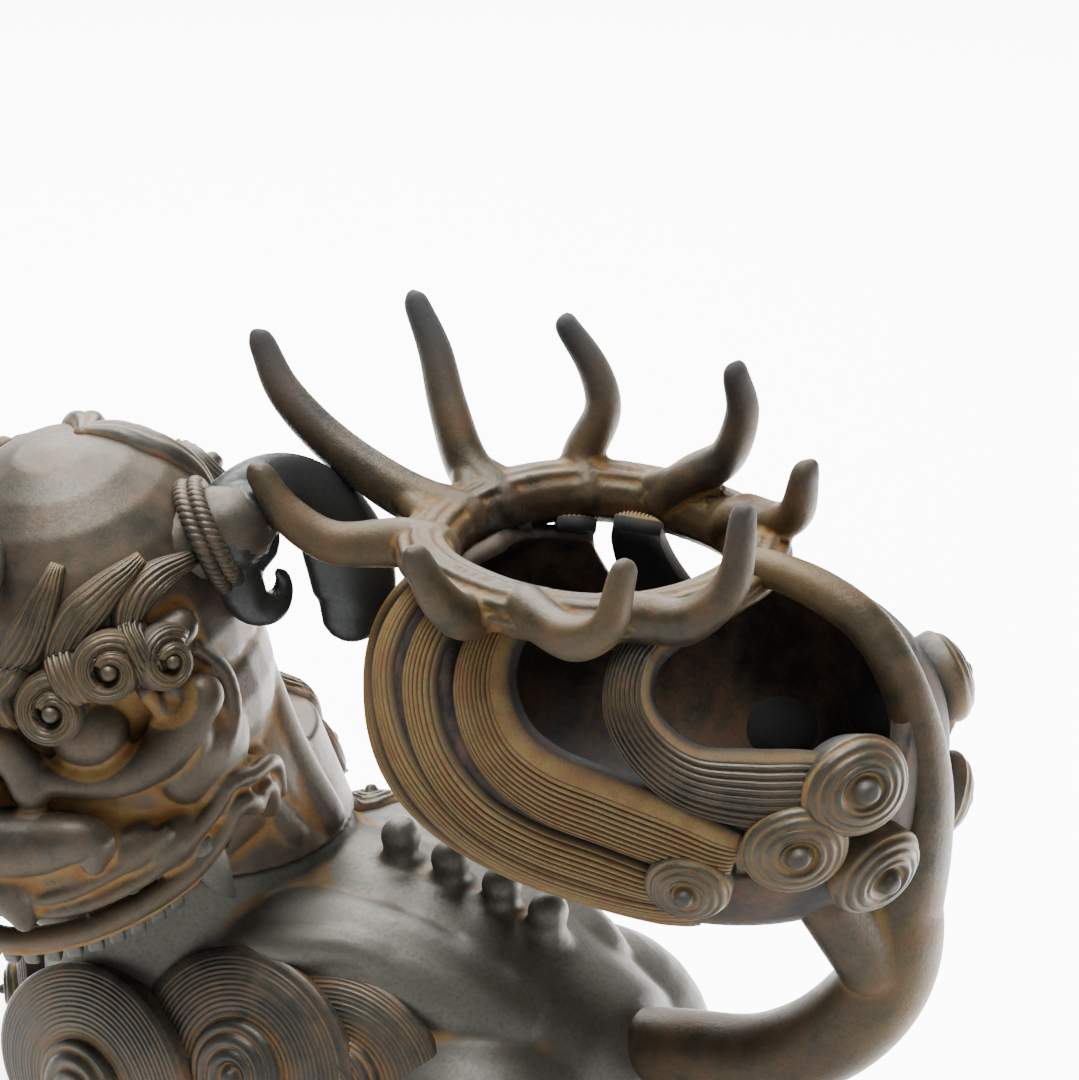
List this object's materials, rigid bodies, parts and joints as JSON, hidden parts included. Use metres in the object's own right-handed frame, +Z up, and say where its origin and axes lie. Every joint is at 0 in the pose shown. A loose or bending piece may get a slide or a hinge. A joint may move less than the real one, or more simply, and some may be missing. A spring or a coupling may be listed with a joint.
{
  "type": "foo dog statue",
  "caption": "Cast bronze guardian lion censer, its turned head hinged at the neck, with an openwork tail ending in a crown of flames.",
  "frame": {"origin": "centre of the overall box, on the plane the paws stand on", "axes": "+Z up, the lion walks towards -X, its left side is -Y"},
  "size_m": [0.2692, 0.1494, 0.3069],
  "materials": {
    "patinated_bronze": "dark brown-grey patina with ochre in the recesses, half-gloss on worn ridges",
    "ochre_bronze": "ochre patina in wax-cut grooves, blue-black on the ridges",
    "dark_bronze": "smooth blue-black patina",
    "plain_bronze": "plain turned or filed bronze, darkened",
    "liner_copper": "spun copper, dulled by ash"
  },
  "bodies": {
    "lion_body": {"body_casting": "patinated_bronze", "belly_plate": "plain_bronze", "belly_plate_rivets": "plain_bronze", "seat_ring": "plain_bronze", "ash_liner": "liner_copper", "hinge_bracket": "plain_bronze", "hinge_pin": "plain_bronze", "tail_casting": "ochre_bronze", "tail_tenon_pin": "plain_bronze"},
    "head_cover": {"head_casting": "patinated_bronze", "spigot_ring": "plain_bronze", "hinge_arm": "plain_bronze", "left_ear": "dark_bronze", "right_ear": "dark_bronze", "left_ear_pin": "plain_bronze", "right_ear_pin": "plain_bronze"}
  },
  "joints": [
    {"name": "head_hinge", "type": "hinge", "parent": "lion_body", "child": "head_cover", "pos_m": [-0.1174, 0.0077, 0.168], "axis": [0, -1, 0], "range_deg": [0, 65]}
  ]
}
